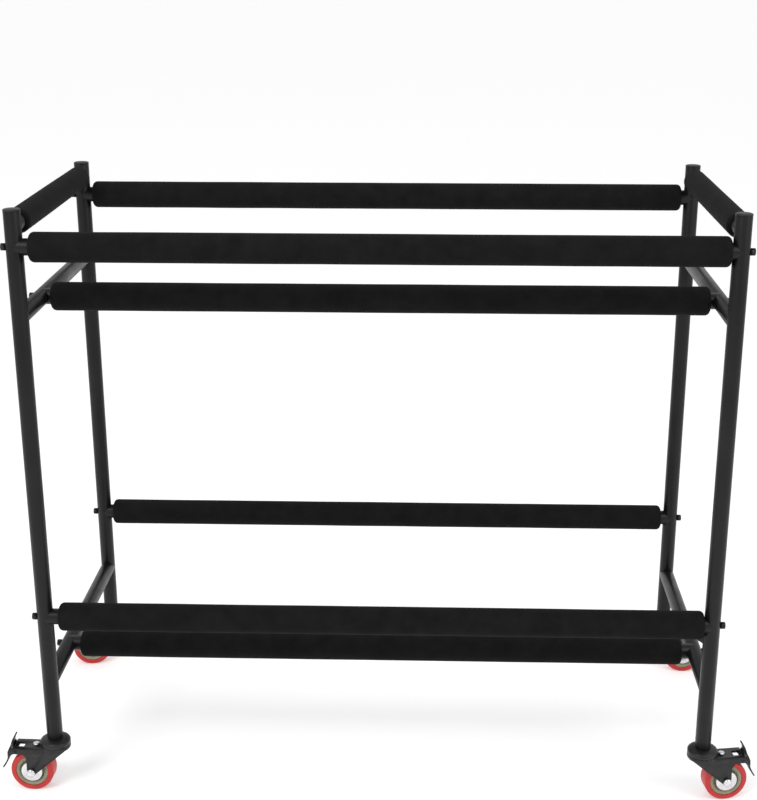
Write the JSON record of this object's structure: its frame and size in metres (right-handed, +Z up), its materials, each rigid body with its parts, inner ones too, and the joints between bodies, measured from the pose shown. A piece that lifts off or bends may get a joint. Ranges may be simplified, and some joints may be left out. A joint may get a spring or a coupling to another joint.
{
  "type": "snare drum rack",
  "caption": "Two-tier rolling rack of round steel tube with foam-padded bars that cradle drums on edge, on swivel castors with brakes.",
  "frame": {"origin": "on the floor under the middle of the rack", "axes": "+X to the right along the padded bars, +Y to the back, +Z up; metres"},
  "size_m": [1.0912, 0.429, 0.851],
  "materials": {
    "black_powder_coat": "satin black powder coat",
    "black_cap_plastic": "moulded black",
    "black_screw": "black oxide",
    "black_foam": "matte closed-cell foam skin",
    "black_castor_steel": "black coated pressed steel",
    "red_tyre": "smooth red tread",
    "olive_core": "moulded olive grey",
    "bright_zinc": "bright zinc plate"
  },
  "bodies": {
    "rack": {"leg_front_left": "black_powder_coat", "leg_front_right": "black_powder_coat", "leg_rear_left": "black_powder_coat", "leg_rear_right": "black_powder_coat", "leg_cap_front_left": "black_cap_plastic", "leg_cap_front_right": "black_cap_plastic", "leg_cap_rear_left": "black_cap_plastic", "leg_cap_rear_right": "black_cap_plastic", "upper_cross_tube_left": "black_powder_coat", "upper_cross_tube_right": "black_powder_coat", "lower_cross_tube_left": "black_powder_coat", "lower_cross_tube_right": "black_powder_coat", "end_bar_tube_left": "black_powder_coat", "end_bar_tube_right": "black_powder_coat", "end_bar_foam_left": "black_foam", "end_bar_foam_right": "black_foam", "upper_front_bar_tube": "black_powder_coat", "upper_rear_bar_tube": "black_powder_coat", "upper_mid_bar_tube": "black_powder_coat", "lower_front_bar_tube": "black_powder_coat", "lower_rear_bar_tube": "black_powder_coat", "lower_mid_bar_tube": "black_powder_coat", "upper_front_bar_foam": "black_foam", "upper_rear_bar_foam": "black_foam", "upper_mid_bar_foam": "black_foam", "lower_front_bar_foam": "black_foam", "lower_rear_bar_foam": "black_foam", "lower_mid_bar_foam": "black_foam", "upper_front_bar_screw_left": "black_screw", "upper_front_bar_screw_right": "black_screw", "upper_rear_bar_screw_left": "black_screw", "upper_rear_bar_screw_right": "black_screw", "lower_front_bar_screw_left": "black_screw", "lower_front_bar_screw_right": "black_screw", "lower_rear_bar_screw_left": "black_screw", "lower_rear_bar_screw_right": "black_screw", "castor_stem_front_left": "black_castor_steel", "castor_stem_front_right": "black_castor_steel", "castor_stem_rear_left": "black_castor_steel", "castor_stem_rear_right": "black_castor_steel"},
    "fork_front_left": {"castor_fork_front_left": "black_castor_steel", "castor_axle_front_left": "bright_zinc"},
    "fork_front_right": {"castor_fork_front_right": "black_castor_steel", "castor_axle_front_right": "bright_zinc"},
    "fork_rear_left": {"castor_fork_rear_left": "black_castor_steel", "castor_axle_rear_left": "bright_zinc"},
    "fork_rear_right": {"castor_fork_rear_right": "black_castor_steel", "castor_axle_rear_right": "bright_zinc"},
    "wheel_front_left": {"castor_tyre_front_left": "red_tyre", "castor_core_front_left": "olive_core"},
    "wheel_front_right": {"castor_tyre_front_right": "red_tyre", "castor_core_front_right": "olive_core"},
    "wheel_rear_left": {"castor_tyre_rear_left": "red_tyre", "castor_core_rear_left": "olive_core"},
    "wheel_rear_right": {"castor_tyre_rear_right": "red_tyre", "castor_core_rear_right": "olive_core"},
    "pedal_front_left": {"castor_pedal_front_left": "black_castor_steel"},
    "pedal_front_right": {"castor_pedal_front_right": "black_castor_steel"},
    "pedal_rear_left": {"castor_pedal_rear_left": "black_castor_steel"},
    "pedal_rear_right": {"castor_pedal_rear_right": "black_castor_steel"}
  },
  "joints": [
    {"name": "swivel_front_left", "type": "hinge", "parent": "rack", "child": "fork_front_left", "pos_m": [-0.465, -0.193, 0.07], "axis": [0, 0, 1], "continuous": true},
    {"name": "swivel_front_right", "type": "hinge", "parent": "rack", "child": "fork_front_right", "pos_m": [0.465, -0.193, 0.07], "axis": [0, 0, 1], "continuous": true},
    {"name": "swivel_rear_left", "type": "hinge", "parent": "rack", "child": "fork_rear_left", "pos_m": [-0.465, 0.193, 0.07], "axis": [0, 0, 1], "continuous": true},
    {"name": "swivel_rear_right", "type": "hinge", "parent": "rack", "child": "fork_rear_right", "pos_m": [0.465, 0.193, 0.07], "axis": [0, 0, 1], "continuous": true},
    {"name": "spin_front_left", "type": "hinge", "parent": "fork_front_left", "child": "wheel_front_left", "pos_m": [-0.49978, -0.19179, 0.031], "axis": [-0.0349, -0.9994, 0], "continuous": true},
    {"name": "spin_front_right", "type": "hinge", "parent": "fork_front_right", "child": "wheel_front_right", "pos_m": [0.49937, -0.18756, 0.031], "axis": [-0.1564, 0.9877, 0], "continuous": true},
    {"name": "spin_rear_left", "type": "hinge", "parent": "fork_rear_left", "child": "wheel_rear_left", "pos_m": [-0.49946, 0.18816, 0.031], "axis": [0.1392, -0.9903, 0], "continuous": true},
    {"name": "spin_rear_right", "type": "hinge", "parent": "fork_rear_right", "child": "wheel_rear_right", "pos_m": [0.49975, 0.19118, 0.031], "axis": [0.0523, 0.9986, 0], "continuous": true},
    {"name": "brake_front_left", "type": "hinge", "parent": "fork_front_left", "child": "pedal_front_left", "pos_m": [-0.52197, -0.19101, 0.064], "axis": [-0.0349, -0.9994, 0], "range_deg": [0, 14]},
    {"name": "brake_front_right", "type": "hinge", "parent": "fork_front_right", "child": "pedal_front_right", "pos_m": [0.5213, -0.18408, 0.064], "axis": [-0.1564, 0.9877, 0], "range_deg": [0, 14]},
    {"name": "brake_rear_left", "type": "hinge", "parent": "fork_rear_left", "child": "pedal_rear_left", "pos_m": [-0.52145, 0.18507, 0.064], "axis": [0.1392, -0.9903, 0], "range_deg": [0, 14]},
    {"name": "brake_rear_right", "type": "hinge", "parent": "fork_rear_right", "child": "pedal_rear_right", "pos_m": [0.52192, 0.19002, 0.064], "axis": [0.0523, 0.9986, 0], "range_deg": [0, 14]}
  ]
}
